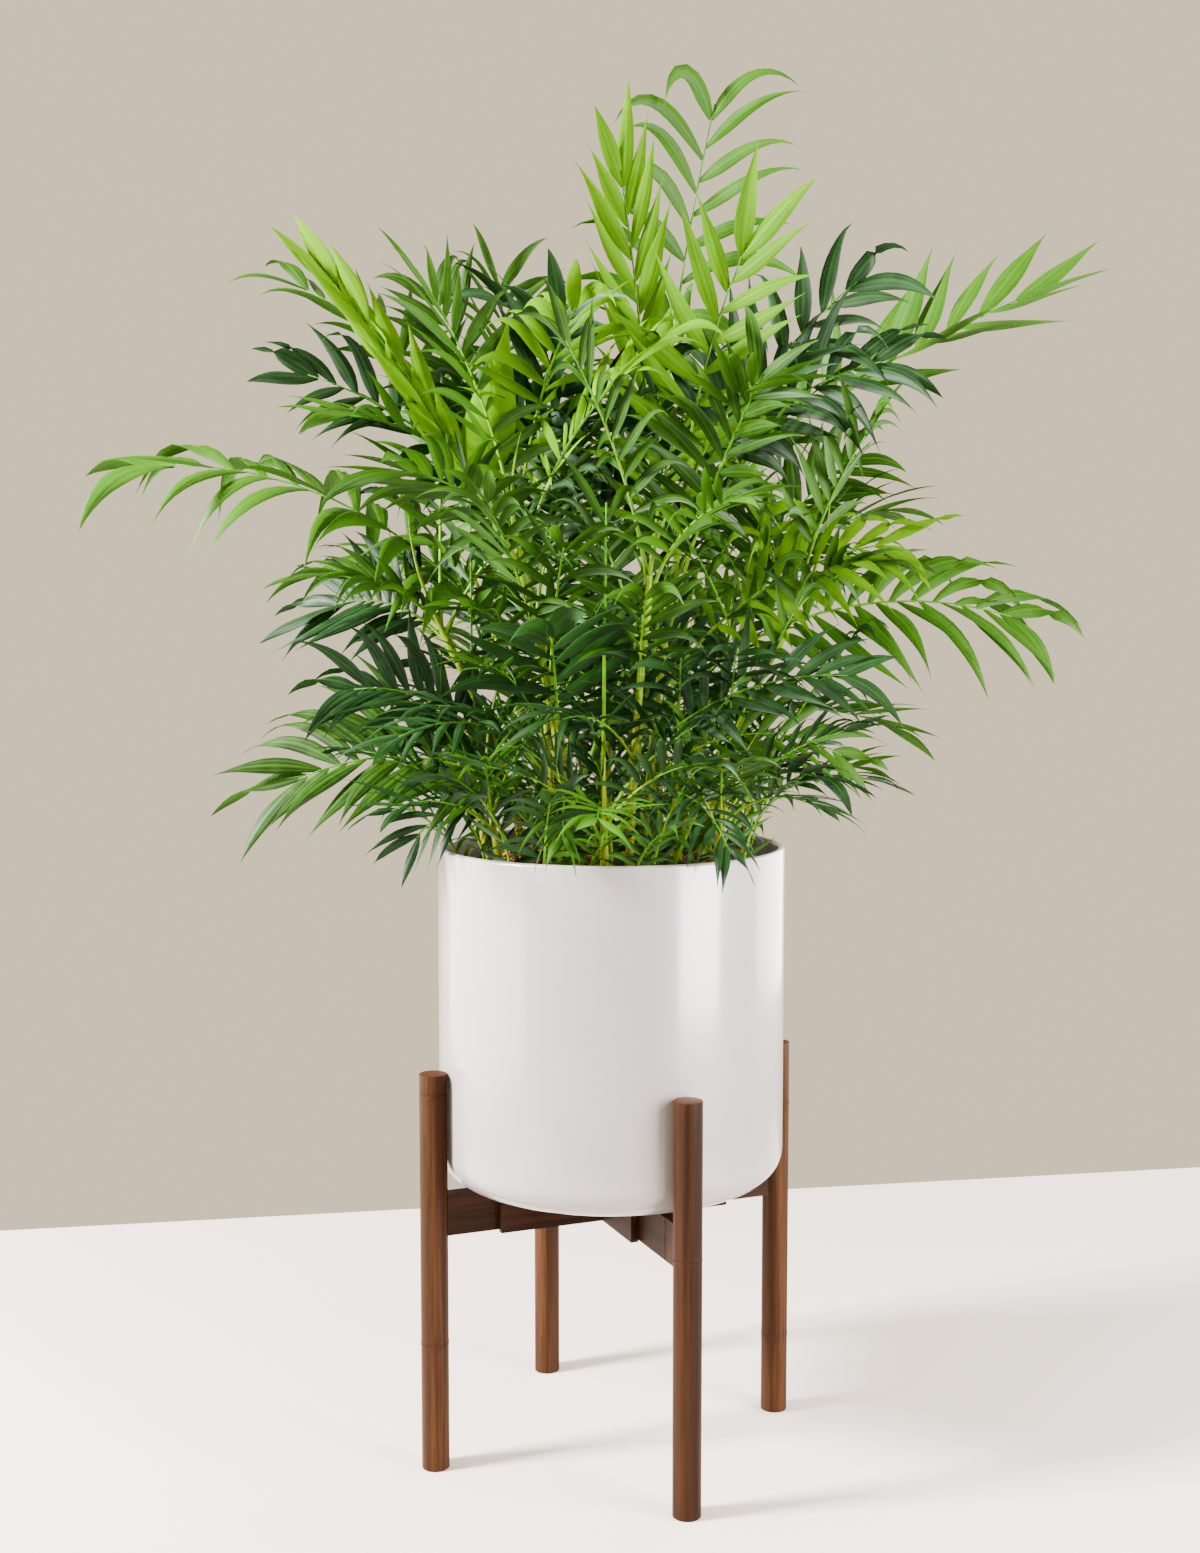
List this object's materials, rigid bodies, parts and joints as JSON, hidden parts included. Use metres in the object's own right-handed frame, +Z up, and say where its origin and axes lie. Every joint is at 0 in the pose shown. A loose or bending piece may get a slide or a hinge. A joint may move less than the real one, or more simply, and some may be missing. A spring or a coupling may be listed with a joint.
{
  "type": "potted parlour palm",
  "caption": "Parlour palm clump with arching feather fronds in a white cylinder pot, raised on a four-legged bamboo stand.",
  "frame": {"origin": "on the floor, under the centre of the outline's bounding box", "axes": "+Z up; the picture's camera looks along +Y with +X to its right"},
  "size_m": [0.8912, 0.5604, 1.2691],
  "materials": {
    "glaze": "satin white glaze",
    "bamboo": "warm brown stained bamboo, satin",
    "soil": "dark bark and coir potting mix",
    "cane": "smooth yellow-green with darker rings",
    "leaf_dark": "deep green, satin, finely pleated",
    "leaf_mid": "mid green, satin, finely pleated",
    "leaf_bright": "young yellow-green, satin, finely pleated"
  },
  "bodies": {
    "root": {"pot": "glaze", "soil": "soil", "beam_long": "bamboo", "beam_short": "bamboo", "leg_right": "bamboo", "arm_right": "bamboo", "leg_back": "bamboo", "arm_back": "bamboo", "leg_left": "bamboo", "arm_left": "bamboo", "leg_front": "bamboo", "arm_front": "bamboo", "cane_01": "cane", "cane_02": "cane", "cane_03": "cane", "cane_04": "cane", "cane_05": "cane", "cane_06": "cane", "cane_07": "cane", "cane_08": "cane", "cane_09": "cane", "cane_10": "cane", "cane_11": "cane", "cane_12": "cane", "crown_01": "leaf_mid", "crown_02": "leaf_mid", "crown_03": "leaf_mid", "crown_04": "leaf_mid", "crown_05": "leaf_mid", "crown_06": "leaf_mid", "crown_07": "leaf_mid", "crown_08": "leaf_mid", "crown_09": "leaf_mid", "crown_10": "leaf_mid", "crown_11": "leaf_mid", "crown_12": "leaf_mid", "tuft_01": "leaf_dark", "tuft_02": "leaf_dark", "tuft_03": "leaf_dark", "tuft_04": "leaf_dark", "tuft_05": "leaf_dark", "tuft_06": "leaf_dark", "tuft_07": "leaf_dark", "tuft_08": "leaf_dark", "tuft_09": "leaf_dark", "tuft_10": "leaf_dark", "frond_right_wide": "leaf_mid", "frond_right_bright": "leaf_bright", "frond_right_dark": "leaf_dark", "frond_right_low": "leaf_mid", "frond_left_wide": "leaf_mid", "frond_left_low": "leaf_mid", "frond_left_under": "leaf_dark", "frond_front_broad": "leaf_dark", "frond_front_fine": "leaf_mid", "frond_front_rib": "leaf_mid", "frond_over_left": "leaf_dark", "frond_over_front": "leaf_mid", "frond_over_right": "leaf_dark"}
  },
  "joints": []
}
